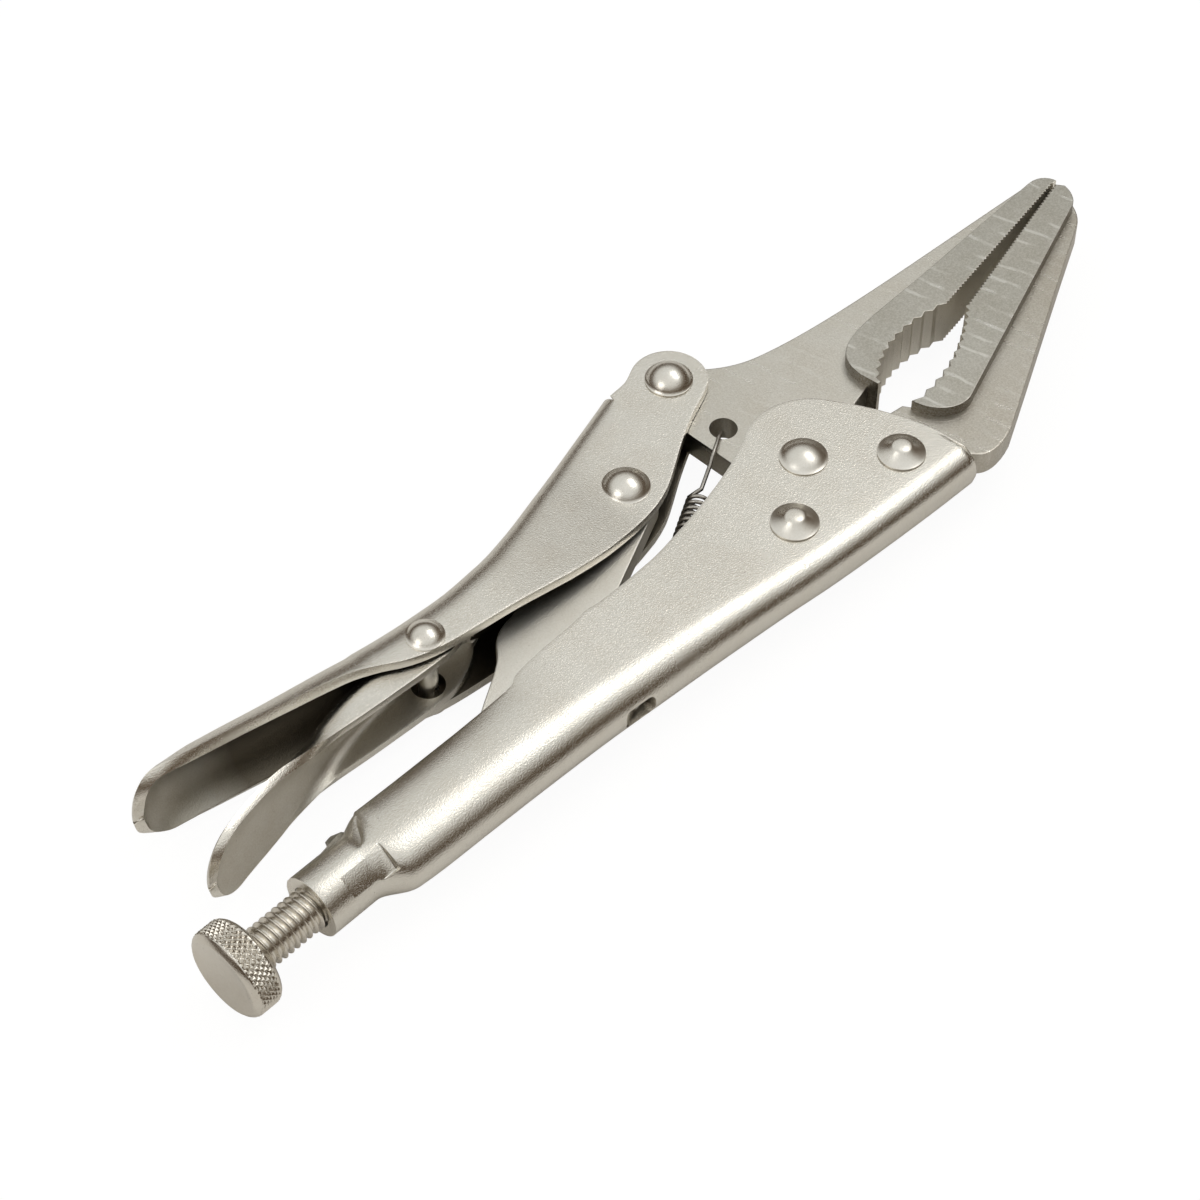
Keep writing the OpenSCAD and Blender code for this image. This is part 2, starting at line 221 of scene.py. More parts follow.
def flowing(*points):
    """Smooth function of x through the points, with no overshoot between them."""
    xs = [p[0] for p in points]
    ys = [p[1] for p in points]
    steps = [(ys[k + 1] - ys[k]) / (xs[k + 1] - xs[k]) for k in range(len(xs) - 1)]
    slopes = [steps[0]]
    for a, b in zip(steps, steps[1:]):
        slopes.append(0.0 if a * b <= 0 else 2 * a * b / (a + b))
    slopes.append(steps[-1])

    def value(x):
        if x <= xs[0]:
            return ys[0]
        if x >= xs[-1]:
            return ys[-1]
        k = max(i for i in range(len(xs) - 1) if xs[i] <= x)
        w = xs[k + 1] - xs[k]
        t = (x - xs[k]) / w
        return ((1 + 2 * t) * (1 - t) ** 2 * ys[k] + t * (1 - t) ** 2 * w * slopes[k]
                + t * t * (3 - 2 * t) * ys[k + 1] + t * t * (t - 1) * w * slopes[k + 1])
    return value


def smoothstep(t):
    t = min(max(t, 0), 1)
    return t * t * (3 - 2 * t)


def round_end(middle, r, half):
    """Stations and half widths for a rounded end: a half ellipse that reaches r behind the middle."""
    turns = [math.radians(w) for w in (87, 82, 76, 70, 63, 56, 49, 41, 33, 25, 16, 8)]
    return [(middle - r * math.sin(w), half * math.cos(w)) for w in turns]


# ---------- folded sheet ----------

# Rows of the grid from the spine to the rim; an open channel has no roof. Where the bend takes most
# of the outline its rows keep to BEND_SHARE of it, and the row along a rim is at most RIM_ROW wide.
BEND_ROWS, WALL_ROWS, ROOF_ROWS = 14, 9, 8
OPEN_ROWS = BEND_ROWS + WALL_ROWS
HALF_ROWS = OPEN_ROWS + ROOF_ROWS
CORNER_ROWS = 5
BEND_SHARE = 0.64
RIM_ROW = 0.45
SEAM = 2e-5
SHEET, RELEASE_SHEET = 1.42, 1.15


def half_section(rim, spine, half, bend, roof=None, tall=0.0, pinch=0.0):
    """Outline of half a folded channel as (y, z), from the middle of the spine to the free rim.
    A channel shallower than its bend is one round dish. tall stretches the bend in y, pinch leans
    the rim inwards, and roof, (top, corner radius), closes the channel over to the middle again."""
    if roof:
        rim = roof[0] - roof[1]
    deep = abs(spine - rim)
    way = 1 if rim > spine else -1
    if deep < bend:
        r = max(half, (half * half + deep * deep) / (2 * deep))
        turn = math.acos(max(-1, 1 - deep / r))
    else:
        r = min(bend, half)
        turn = math.pi / 2
    rise = min(max(tall, r), deep) if deep >= bend else r
    flat = max(half - r, 0)
    fold = flat + (r + rise) / 2 * turn
    wall = max(deep - rise, 0) if deep >= bend else 0
    whole = fold + wall
    split = min(fold, BEND_SHARE * whole)

    def point(s):
        if s <= flat:
            return spine, s
        if s <= fold:
            w = (s - flat) / (fold - flat) * turn
            return spine + way * rise * (1 - math.cos(w)), flat + r * math.sin(w)
        return spine + way * (rise + s - fold), half - pinch * ((s - fold) / max(wall, 1e-6)) ** 3

    last = whole - min(RIM_ROW, (whole - split) / WALL_ROWS)
    rows = [point(split * k / BEND_ROWS) for k in range(BEND_ROWS)]
    rows += [point(mix(split, last, k / (WALL_ROWS - 1))) for k in range(WALL_ROWS)]
    edge = point(whole)
    if not roof:
        return rows + [edge] * (ROOF_ROWS + 1)
    top, corner = roof
    for k in range(CORNER_ROWS + 1):
        w = math.pi / 2 * k / CORNER_ROWS
        rows.append((top - corner * (1 - math.sin(w)), edge[1] - corner * (1 - math.cos(w))))
    flat_rows = ROOF_ROWS - CORNER_ROWS
    return rows + [(top, mix(edge[1] - corner, 0, (k + 1) / flat_rows)) for k in range(flat_rows)]


def folded(name, xs, section, keep, sheet, outward):
    """Sheet-metal piece: a grid is laid along the sections, its unused faces are cut away, and the
    rest gets its thickness inwards. outward is the side the spine faces in y. The material slots
    are the outside, the inside and the rim."""
    nx, ny = len(xs) - 1, 2 * HALF_ROWS
    deselect()
    bpy.ops.mesh.primitive_grid_add(x_subdivisions=nx, y_subdivisions=ny, size=2)
    piece = named(name)
    mesh = piece.data
    cells = [(int((f.center.x + 1) / 2 * nx), int((f.center.y + 1) / 2 * ny)) for f in mesh.polygons]
    sections = [section(x) for x in xs]
    for v in mesh.vertices:
        i, j = round((v.co.x + 1) / 2 * nx), round((v.co.y + 1) / 2 * ny)
        y, z = sections[i][abs(j - HALF_ROWS)]
        v.co = at(xs[i], y, z if j > HALF_ROWS else -z)

    def unused(face):
        i, j = cells[face.index]
        row = j - HALF_ROWS if j >= HALF_ROWS else HALF_ROWS - 1 - j
        return not keep((xs[i] + xs[i + 1]) / 2, row)

    select_faces(mesh, unused)
    bpy.ops.mesh.delete(type="FACE")
    bpy.ops.mesh.select_mode(type="VERT")
    done_editing()
    weld(SEAM)
    level = [f for f in mesh.polygons if abs(f.normal.y) > 0.8]
    spine_face = max(level, key=lambda f: outward * f.center.y)
    if spine_face.normal.y * outward < 0:
        editing()
        bpy.ops.mesh.select_all(action="SELECT")
        bpy.ops.mesh.flip_normals()
        done_editing()
    empty_slots(piece)
    modify(piece, "SOLIDIFY", thickness=sheet * MM, offset=-1, use_even_offset=False,
           use_quality_normals=True, material_offset=1, material_offset_rim=2)
    return piece


def finish_rims(piece, width):
    """Rounds a folded sheet's rims and smooths the rest."""
    modify(piece, "BEVEL", width=width * MM, segments=3, limit_method="ANGLE",
           angle_limit=math.radians(50), use_clamp_overlap=True, miter_outer="MITER_ARC")
    smooth(piece, 38)


# Fixed handle: an open channel that closes over to a round barrel behind BARREL_FRONT
SCREW_Y = -3.9
BARREL_R = 4.4
BARREL_FRONT = -81.6
FRONT_HALF = 3.6
CHANNEL_TALL, CHANNEL_LEAN = 5.7, 1.4
CLOSING_SPINE, CLOSING_TOP, CLOSING_CORNER = -10.72, 1.0, 0.7
CLOSING_LENGTH, CORNER_LENGTH = 4.8, 3.6
handle_spine = flowing((-82, -10.7), (-78, -11.0), (-70, -11.2), (-60, -11.5), (-50, -11.9),
                       (-40, -12.6), (-30, -13.3), (-20, -14.2), (-10, -15.2), (0, -15.9),
                       (10, -16.4), (16.6, -16.6))
handle_half = flowing((-82, 4.4), (-60, 4.35), (-30, 4.0), (-14, FRONT_HALF), (17, FRONT_HALF))
handle_bend = flowing((-60, 4.3), (-42, 4.1), (-25, 3.5), (-8, 3.0), (17, 2.8))
handle_tall = flowing((-80, CHANNEL_TALL), (-64, CHANNEL_TALL), (-52, 5.4), (-42, 4.9), (-25, 4.2),
                      (-8, 3.6), (17, 3.3))
handle_pinch = flowing((-80, CHANNEL_LEAN), (-66, 1.25), (-60, 0.85), (-54, 0.35), (-48, 0.0))

# The rim runs up to a round cheek over the jaw pivot and down its front
CHEEK_X, CHEEK_R, CHEEK_BACK, CHEEK_FRONT = 1.9, 9.4, -3.2, 10.04
handle_back_rim = flowing((-82, 1.0), (-76, 0.85), (-66, 0.7), (-56, 0.45), (-54.6, 0.55),
                          (-53.4, 1.25), (-50, 1.6), (-41.7, 1.9), (-39.5, 2.2), (-37.5, 1.95),
                          (-34.5, 1.9), (-28, 2.08), (-22, 2.9), (-16, 4.05), (-11.4, 5.1),
                          (-7, 6.4), (CHEEK_BACK, 7.88))
handle_front_rim = flowing((CHEEK_FRONT, 4.7), (12.33, 0.84), (14.25, -3.33), (15.8, -8.16),
                           (16.6, -13.9))


def handle_rim(x):
    if x < CHEEK_BACK:
        return handle_back_rim(x)
    if x > CHEEK_FRONT:
        return handle_front_rim(x)
    return math.sqrt(CHEEK_R ** 2 - (x - CHEEK_X) ** 2)


def handle_section(x):
    if x >= BARREL_FRONT:
        return half_section(handle_rim(x), handle_spine(x), handle_half(x), handle_bend(x),
                            tall=handle_tall(x), pinch=handle_pinch(x))
    behind = BARREL_FRONT - x
    t = smoothstep(behind / CLOSING_LENGTH)
    spine = mix(CLOSING_SPINE, SCREW_Y - BARREL_R, t)
    top = mix(CLOSING_TOP, SCREW_Y + BARREL_R, t)
    corner = mix(CLOSING_CORNER, BARREL_R, smoothstep(behind / CORNER_LENGTH))
    return half_section(0, spine, BARREL_R, BARREL_R, (top, min(corner, BARREL_R)),
                        mix(CHANNEL_TALL, BARREL_R, t), mix(CHANNEL_LEAN, 0, t))


fixed_handle = folded(
    "fixed_handle_sheet",
    spaced((-93.6, -87, 1.1), (-87, BARREL_FRONT, 0.3), (BARREL_FRONT, -56.5, 2.1),
           (-56.5, -52, 0.45), (-52, -41, 1.8), (-41, -36, 0.6), (-36, -6, 1.6), (-6, 16.6, 0.5)),
    handle_section, lambda x, row: x < BARREL_FRONT or row < OPEN_ROWS, SHEET, -1)
CRIMP_TURN, CRIMP_REACH = math.radians(42), 6.14
crimp_place = at(-86.65, SCREW_Y - CRIMP_REACH * math.sin(CRIMP_TURN),
                 CRIMP_REACH * math.cos(CRIMP_TURN))
slot = rounded_block("slot_cutter", at(-44.3, -13.5), (5.0, 7.2, 3.0), round_by=0.9, segments=4)
crimp = rounded_block("crimp_cutter", crimp_place, (6.7, 4.2, 4.0), (CRIMP_TURN, 0, 0), 0.15, 4)
cut(fixed_handle, slot)
cut(fixed_handle, crimp)
finish_rims(fixed_handle, 0.34)

# Lever handle: a channel with a spoon at its end, and two flat ears in front of EAR_START
LEVER_PIVOT = (-2.13, 22.74)
EAR_R = 5.4
EAR_ROW = 11
EAR_START = -10
EAR_BACK, EAR_LOW = -4.41, 1.34
lever_rim = flowing((-100.3, 20.9), (-99.8, 21.35), (-98.8, 21.75), (-97, 21.9), (-94.5, 21.25),
                    (-91, 20.3),
                    (-87, 19.4), (-82, 18.3), (-77, 17.1), (-72, 15.9), (-68.6, 14.9), (-65.6, 13.3),
                    (-62.5, 11.45), (-59.5, 10.3), (-56, 9.55), (-52, 9.0), (-46, 8.3), (-41, 7.7),
                    (-36, 7.15), (-31, 6.95), (-25.6, 7.3), (-20.4, 8.1), (-17, 9.2), (-13.5, 11.1),
                    (-10, 13.2), (-5, 15.85), (0, 17.9), (EAR_LOW, 18.6))
lever_spine = flowing((-100.3, 21.3), (-99.8, 22.0), (-98.8, 22.8), (-97, 23.55), (-94.5, 24.1),
                      (-91, 24.15), (-87, 23.6), (-80, 22.3), (-70, 20.7), (-62, 19.3), (-56, 18.5),
                      (-50, 18.0), (-44, 18.3), (-38, 19.4), (-30, 21.7), (-20, 24.8), (-10, 27.7))
lever_end = round_end(-93.8, 6.5, 6.75)
lever_half = flowing(*lever_end, (-91.5, 6.78), (-85, 6.8), (-60, 6.6), (-47, 6.4), (-40, 5.8),
                     (-30, 4.7), (-21, 3.8), (-12, FRONT_HALF), (4, FRONT_HALF))
lever_bend = flowing((-72, 6.7), (-60, 6.0), (-50, 5.0), (-30, 3.5), (-10, 3.0))
ear_top = flowing((EAR_START, 26.4), (-7, 26.6), (-4.4, 27.63))


def channel_section(x):
    return half_section(lever_rim(x), lever_spine(x), lever_half(x), lever_bend(x))


def lever_section(x):
    if x <= EAR_START:
        return channel_section(x)
    reach = math.sqrt(max(EAR_R ** 2 - (x - LEVER_PIVOT[0]) ** 2, 0))
    low = LEVER_PIVOT[1] - reach if x > EAR_LOW else lever_rim(x)
    top = LEVER_PIVOT[1] + reach if x > EAR_BACK else ear_top(x)
    depths = [y for y, z in channel_section(EAR_START)]
    first, last = depths[EAR_ROW], depths[-1]
    rows = [(mix(top, low, (first - max(min(y, first), last)) / (first - last)), FRONT_HALF)
            for y in depths[:OPEN_ROWS]]
    return rows + [(low, FRONT_HALF)] * (ROOF_ROWS + 1)


ear_xs = [LEVER_PIVOT[0] + EAR_R * math.cos(math.radians(w)) for w in range(110, -1, -5)]
lever_handle = folded(
    "lever_handle_sheet",
    [x for x, half in lever_end]
    + spaced((-93.2, -72, 1.7), (-72, -52, 1.1), (-52, EAR_START, 1.7)) + [EAR_START + 0.1]
    + spaced((-9.0, -4.6, 0.8)) + ear_xs,
    lever_section, lambda x, row: row < OPEN_ROWS and (x < EAR_START or row >= EAR_ROW), SHEET, 1)
finish_rims(lever_handle, 0.42)

# Release lever: a small spoon that closes to a channel round its rivet
RELEASE_RIVET, CLEARANCE_R = (-58.06, 12.6), 2.3
release_rim = flowing((-100.4, 6.9), (-99.8, 7.35), (-98.4, 7.9), (-96, 8.6), (-93, 9.4), (-90, 10.0),
                      (-87, 10.55), (-84, 10.9), (-80.5, 10.8), (-76, 10.5), (-71, 10.1), (-66, 9.8),
                      (-61, 9.55), (-57.5, 9.5), (-55, 9.85), (-52.6, 10.8), (-50.6, 12.0), (-49.3, 13.1),
                      (-48.4, 14.0))
release_spine = flowing((-100.4, 7.3), (-99.8, 8.1), (-98.4, 9.1), (-96, 10.2), (-93, 11.0),
                        (-90, 11.6), (-87, 12.0), (-84, 12.6), (-80.5, 13.4), (-76, 14.4),
                        (-71, 15.2), (-62, 15.9), (-56, 15.9), (-50.6, 15.4), (-48.4, 14.9))
release_end = round_end(-94.6, 5.8, 6.15)
release_half = flowing(*release_end, (-92, 6.2), (-89, 6.1), (-84, 5.5), (-80.5, 5.1), (-76, 4.8),
                       (-48, 4.7))
release_bend = flowing((-82, 4.8), (-76, 3.8), (-70, 2.9), (-60, 2.2), (-48, 0.9))
release_lever = folded(
    "release_lever_sheet",
    [x for x, half in release_end] + spaced((-94, -58, 1.5), (-58, -48.4, 0.6)),
    lambda x: half_section(release_rim(x), release_spine(x), release_half(x), release_bend(x)),
    lambda x, row: row < OPEN_ROWS, RELEASE_SHEET, 1)
punch_hole(release_lever, at(*RELEASE_RIVET), CLEARANCE_R, depth=14)
finish_rims(release_lever, 0.34)

# Tongue that the release lever presses on the toggle link, and the handle's lanced spring tab
tongue = rounded_block("release_lever_tongue", at(-49.3, 14.0), (2.2, 1.1, 4),
                       (0, 0, math.radians(-62)), 0.35)
spring_tab = rounded_block("spring_tab", at(-45.7, -10.75), (4.0, 1.0, 2.6), (0, 0, math.radians(24)))
for piece in (tongue, spring_tab):
    smooth(piece)


# ---------- forged and stamped pieces ----------

def bow(p, q, r, s, n=10):
    """Points on a cubic curve from p towards s, without s."""
    out = []
    for k in range(n):
        t = k / n
        u = 1 - t
        out.append(tuple(u ** 3 * a + 3 * u * u * t * b + 3 * u * t * t * c + t ** 3 * d
                         for a, b, c, d in zip(p, q, r, s)))
    return out


def round_of(middle, r, a, b, n=16):
    """Points on an arc from a to b degrees."""
    return [(middle[0] + r * math.cos(math.radians(a + (b - a) * k / n)),
             middle[1] + r * math.sin(math.radians(a + (b - a) * k / n))) for k in range(n + 1)]


def toothed(path, depth, side):
    """Every second point of the path moves sideways by depth, which makes crests and valleys."""
    out = []
    for k, (x, y) in enumerate(path):
        (ax, ay), (bx, by) = path[max(k - 1, 0)], path[min(k + 1, len(path) - 1)]
        length = math.hypot(bx - ax, by - ay)
        move = (k % 2) * side * depth / length
        out.append((x + (by - ay) * move, y - (bx - ax) * move))
    return out


def straight(p, q, n):
    return [(mix(p[0], q[0], k / n), mix(p[1], q[1], k / n)) for k in range(n + 1)]


def coarse_steps(length):
    """Steps that give one crest to each coarse pitch."""
    return 2 * round(length / COARSE_PITCH)


def stamped(name, outline, thick, edge):
    """Plate cut to an outline: a disc takes the outline, is pulled up to its thickness, and both
    faces are inset twice to break the edges."""
    deselect()
    bpy.ops.mesh.primitive_circle_add(vertices=len(outline), fill_type="NGON")
    piece = named(name)
    for v, (x, y) in zip(piece.data.vertices, outline):
        v.co = at(x, y, edge - thick / 2)
    editing()
    bpy.ops.mesh.select_all(action="SELECT")
    bpy.ops.mesh.extrude_region_move(TRANSFORM_OT_translate={"value": (0, 0, (thick - 2 * edge) * MM)})
    bpy.ops.mesh.select_all(action="SELECT")
    bpy.ops.mesh.normals_make_consistent(inside=False)
    done_editing()
    for side in (1, -1):
        select_faces(piece.data, lambda f: f.normal.z * side > 0.9)
        for inwards, rise in ((0.3, 0.7), (0.7, 0.3)):
            bpy.ops.mesh.inset(thickness=edge * inwards * MM, depth=edge * rise * MM,
                               use_even_offset=True)
        done_editing()
    return piece


COARSE_PITCH, COARSE_DEPTH, FINE_TEETH, FINE_DEPTH = 1.78, 0.55, 44, 0.3
FLANK, FLANK_EDGE = 4.0, 0.3
NOSE, NOSE_EDGE = 7.5, 0.16
SPRING_HOLE, SPRING_HOLE_R = (-2.5, 12.2), 1.95
LINK_PIVOT, SCREW_TIP = (-20.3, 13.45), (-60.5, SCREW_Y)
fixed_throat = bow((36.6, 2.5), (33, 0), (28, -3.7), (18.3, -3.9), coarse_steps(19.5))
moving_throat = bow((17.6, 1.6), (21, 5.4), (28, 6.9), (35, 4.65), coarse_steps(18.5))
fixed_bite = ((64.4, 9.2), (37, 2.65))
moving_bite = ((35.3, 4.7), (64.4, 9.4))

moving_flank = stamped(
    "moving_jaw_tail",
    [(13.3, 2.4), (17.4, 3.4), (20, 6), (28, 7.4), (36, 6.2), (64, 10.4)]
    + bow((64.4, 10.9), (64, 12.4), (63.2, 13), (61.4, 13.05), 5)
    + bow((61.4, 13.05), (40, 14.6), (22, 15.2), (11.2, 17.9), 24)
    + bow((11.2, 17.9), (7.4, 18.8), (5, 20.6), (3.1, 22.4), 10) + [(2.55, 22.95)]
    + round_of(LEVER_PIVOT, 4.65, 6, 176, 20) + bow((-6.5, 15), (-6.45, 12), (-6.4, 8), (-6.3, 3), 8)
    + round_of((0, 0), 6.2, 180, 350, 20),
    FLANK, FLANK_EDGE)
punch_hole(moving_flank, at(*SPRING_HOLE), SPRING_HOLE_R)
moving_nose = stamped(
    "moving_jaw_nose",
    toothed(moving_throat, COARSE_DEPTH, -1)
    + toothed(straight(*moving_bite, 2 * FINE_TEETH), FINE_DEPTH, -1)
    + bow((65.2, 9.5), (65, 10.8), (64, 12), (62, 12), 7)
    + bow((62, 12), (56, 11.75), (50, 11.5), (45, 11.3), 6)
    + bow((45, 11.3), (36, 10.9), (40, 11.0), (30, 10.8), 6)
    + bow((30, 10.8), (22, 10.6), (17.2, 10.4), (16.7, 5), 14) + [(16.7, 4.6), (17.05, 1.6)],
    NOSE, NOSE_EDGE)
fixed_flank = stamped(
    "fixed_jaw_tail",
    [(64, 8.4), (37, 1.2), (30, -3.2), (19, -4.6), (17.6, -2.4), (14.8, -2), (6.7, -1.5)]
    + round_of((0, 0), 6.6, -14, -160, 20) + [(-9.4, -2.7)] + round_of((-9.46, -6.9), 4.2, 95, 175, 8)
    + [(-13.7, -10.5), (-11.6, -12.3), (0, -13.3), (10, -13.7), (15.4, -13.8), (17, -14.85)]
    + bow((17.4, -15.1), (18.2, -16.6), (20.4, -17.3), (24.6, -15.8), 9)
    + bow((24.6, -15.8), (37, -9.7), (49, -3.6), (61.6, 2.5), 8)
    + bow((61.6, 2.5), (63.6, 3.6), (64.8, 5.6), (65, 7.8), 8),
    FLANK, FLANK_EDGE)
fixed_nose = stamped(
    "fixed_jaw_nose",
    toothed(straight(*fixed_bite, 2 * FINE_TEETH), FINE_DEPTH, -1)
    + toothed(fixed_throat, COARSE_DEPTH, -1) + [(17.9, -3.7)]
    + bow((17.9, -3.9), (18.2, -6.6), (20.6, -9.6), (24, -9), 12)
    + bow((24, -9), (36.8, -4.5), (49.7, 0), (62.6, 4.5), 8)
    + bow((62.6, 4.5), (64.3, 5.1), (65.2, 6.8), (65.3, 8.6), 8),
    NOSE, NOSE_EDGE)
GRIP_REACH = 1.3


def mark_sides(piece, grip):
    """Second material, for painted shade, on the outer side faces and third, for a painted reflection, on
    those along the gripping path.
    """
    empty_slots(piece)
    ends = [at(*p) for p in grip]
    for face in piece.data.polygons:
        close = min(math.hypot(face.center.x - p.x, face.center.y - p.y) for p in ends)
        if abs(face.normal.z) < 0.5:
            face.material_index = 1 if close > GRIP_REACH * MM else 2


mark_sides(moving_nose, moving_throat + straight(*moving_bite, 20))
mark_sides(fixed_nose, fixed_throat + straight(*fixed_bite, 20))

toggle_link = stamped(
    "toggle_link_plate",
    round_of(LINK_PIVOT, 4.4, 76, -64, 20)
    + bow((-32, 3.35), (-37, 1.1), (-41, -0.7), (-46, -2.95), 5)
    + bow((-46, -2.95), (-51, -5.2), (-54, -7.4), (-58.5, -6.7), 10)
    + round_of(SCREW_TIP, 3, -65, -205, 16)
    + bow((-63, -1.6), (-60.5, 1.9), (-53, 4.4), (-51, 7), 12)
    + bow((-51, 7), (-49.7, 8.9), (-47.6, 10), (-44.8, 9.9), 10),
    3.4, 0.25)
for piece in (moving_flank, moving_nose, fixed_flank, fixed_nose, toggle_link):
    smooth(piece, 34, flats=True)


# ---------- turned pieces ----------

def turned(name, profile, place, axis="Z", steps=72):
    """Solid of revolution from a profile of (radius, height) that starts and ends on the axis."""
    piece = open_profile(name, [(r, 0, h) for r, h in profile])
    editing()
    bpy.ops.mesh.select_all(action="SELECT")
    bpy.ops.mesh.spin(steps=steps, angle=2 * math.pi, center=(0, 0, 0), axis=(0, 0, 1))
    done_editing()
    weld(outwards=True)
    if axis == "X":
        piece.rotation_euler = (0, math.pi / 2, 0)
    piece.location = place
    settle(piece)
    smooth(piece, 30)
    return piece


CROWN_STEPS = 12


def domed_head(r, h):
    """Head profile from the seat's rim to the crown, with a small rolled edge."""
    ball = (r * r + h * h) / (2 * h)
    reach = math.asin(min(1, r / ball))
    rolled = [(r - 0.1, 0), (r, 0.1), (r, 0.22)]
    angles = [reach * (1 - k / CROWN_STEPS) for k in range(1, CROWN_STEPS + 1)]
    crown = [(ball * math.sin(w), h - ball * (1 - math.cos(w))) for w in angles]
    crown[0] = (crown[0][0], max(crown[0][1], 0.3))
    return rolled + crown


def coned_head(r, h):
    """Head profile with a flat cone and a small crown."""
    return ([(r - 0.1, 0), (r, 0.1), (r - 0.03, 0.3), (r * 0.9, 0.24 * h), (r * 0.5, 0.76 * h),
             (r * 0.45, 0.84 * h)]
            + [(r * 0.42 * math.cos(math.radians(w)), 0.86 * h + 0.14 * h * math.sin(math.radians(w)))
               for w in range(15, 91, 15)])


def rivet(name, node, head, shank):
    """Rivet with a head on each side, as tall as its CAD node."""
    low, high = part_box(node)
    tall = (high.z - low.z) / 2 / MM
    seat = tall - head[-1][1]
    upper = [(r, seat + h) for r, h in head]
    upper[-1] = (0, tall)
    half = [(shank, seat - 0.1)] + upper
    return turned(name, [(r, -h) for r, h in reversed(half)] + half, centre(node))


RIVET_R, SHANK_R = 3.3, 2
SMALL_RIVET_R, SMALL_SHANK_R = 2.6, 1.4
rivets = [(node, body, rivet(name, node, head, shank)) for node, body, name, head, shank in (
    ("fixed_jaw_front_rivet", "frame", "front_rivet", coned_head(RIVET_R, 1.8), SHANK_R),
    ("fixed_jaw_rear_rivet", "frame", "rear_rivet", coned_head(RIVET_R, 1.8), SHANK_R),
    ("jaw_pivot_rivet", "frame", "pivot_rivet", domed_head(RIVET_R, 1.5), SHANK_R),
    ("lever_jaw_rivet", "lever", "ear_rivet", domed_head(RIVET_R, 2.1), SHANK_R),
    ("link_rivet", "lever", "toggle_rivet", domed_head(RIVET_R, 1.9), SHANK_R),
    ("release_lever_rivet", "lever", "release_rivet", domed_head(SMALL_RIVET_R, 1.4), SMALL_SHANK_R),
)]

# Adjusting screw: a knurled knob on a true helical thread
KNOB_R, KNOB_L, THREAD_R, PITCH = 6.3, 4.5, 2.9, 1.0
KNURLS, STEPS_PER_KNURL, KNURL_ROWS = 46, 8, 30
KNURL_DEPTH, KNURL_LENGTH, BAND_MARGIN, BAND_FADE = 0.3, 0.92, 0.72, 0.35
screw_low, screw_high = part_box("adjusting_screw")
screw_back = centre("adjusting_screw")
screw_back.x = screw_low.x
screw_length = (screw_high.x - screw_low.x) / MM


def knurled_knob(name):
    """Grid wrapped round the screw's axis. Its rows are (radius, x), with no radius yet on the
    knurled band."""
    cols = KNURLS * STEPS_PER_KNURL
    band = [mix(BAND_MARGIN, KNOB_L - BAND_MARGIN, k / KNURL_ROWS) for k in range(KNURL_ROWS + 1)]
    rows = ([(0, 0.12), (2.6, 0.11), (5.05, 0.05), (5.25, 0.0), (5.45, 0.02), (5.9, 0.32), (6.12, 0.58)]
            + [(None, x) for x in band]
            + [(6.1, KNOB_L - 0.56), (5.8, KNOB_L - 0.22), (5.5, KNOB_L - 0.03), (5.2, KNOB_L),
               (2.2, KNOB_L)])
    deselect()
    bpy.ops.mesh.primitive_grid_add(x_subdivisions=cols, y_subdivisions=len(rows) - 1, size=2)
    piece = named(name)

    def ridge(t):
        return abs((t % 1) * 2 - 1)

    for v in piece.data.vertices:
        i = round((v.co.x + 1) / 2 * cols)
        j = round((v.co.y + 1) / 2 * (len(rows) - 1))
        w = 2 * math.pi * (i % cols) / cols
        r, x = rows[j]
        if r is None:
            u, k = KNURLS * (i % cols) / cols, (x - KNOB_L / 2) / KNURL_LENGTH
            fade = smoothstep((x - 0.66) / BAND_FADE) * smoothstep((KNOB_L - 0.66 - x) / BAND_FADE)
            groove = KNURL_DEPTH * (1 - min(ridge(u + k), ridge(u - k)) * 1.25)
            r = min(KNOB_R - 0.16 + 0.16 * fade - groove * fade, KNOB_R)
        v.co = screw_back + Vector((x, r * math.cos(w), r * math.sin(w))) * MM
    weld(outwards=True)
    smooth(piece, 24)
    return piece


def helical_thread(name):
    """One pitch of thread profile, screwed along the axis."""
    start, turns = KNOB_L - 0.6, int(screw_length - KNOB_L - 0.6)
    tooth = ((0, 0.62), (0.1, 0.62), (0.42, 0.03), (0.48, 0), (0.54, 0), (0.6, 0.03), (0.92, 0.62),
             (1, 0.62))
    piece = open_profile(name, [(start + x * PITCH, THREAD_R - depth, 0) for x, depth in tooth])
    modify(piece, "SCREW", axis="X", angle=2 * math.pi, screw_offset=PITCH * MM, iterations=turns,
           steps=40, render_steps=40, use_merge_vertices=False)
    weld(outwards=True)
    piece.location = screw_back
    settle(piece)
    smooth(piece, 40)
    return piece


screw_knob = knurled_knob("screw_knob")
screw_thread = helical_thread("screw_thread")
CORE_R, TIP_R = 2.35, 1.5
core_length = screw_length - KNOB_L
screw_core = turned(
    "screw_core",
    [(0, 0), (CORE_R, 0), (CORE_R, core_length - 0.7), (TIP_R, core_length), (0, core_length)],
    screw_back + Vector((KNOB_L * MM, 0, 0)), "X", 48)


# ---------- jaw spring ----------

SPRING_R, SPRING_TURNS, STEPS_PER_TURN, WIRE_R = 1.55, 24, 22, 0.3


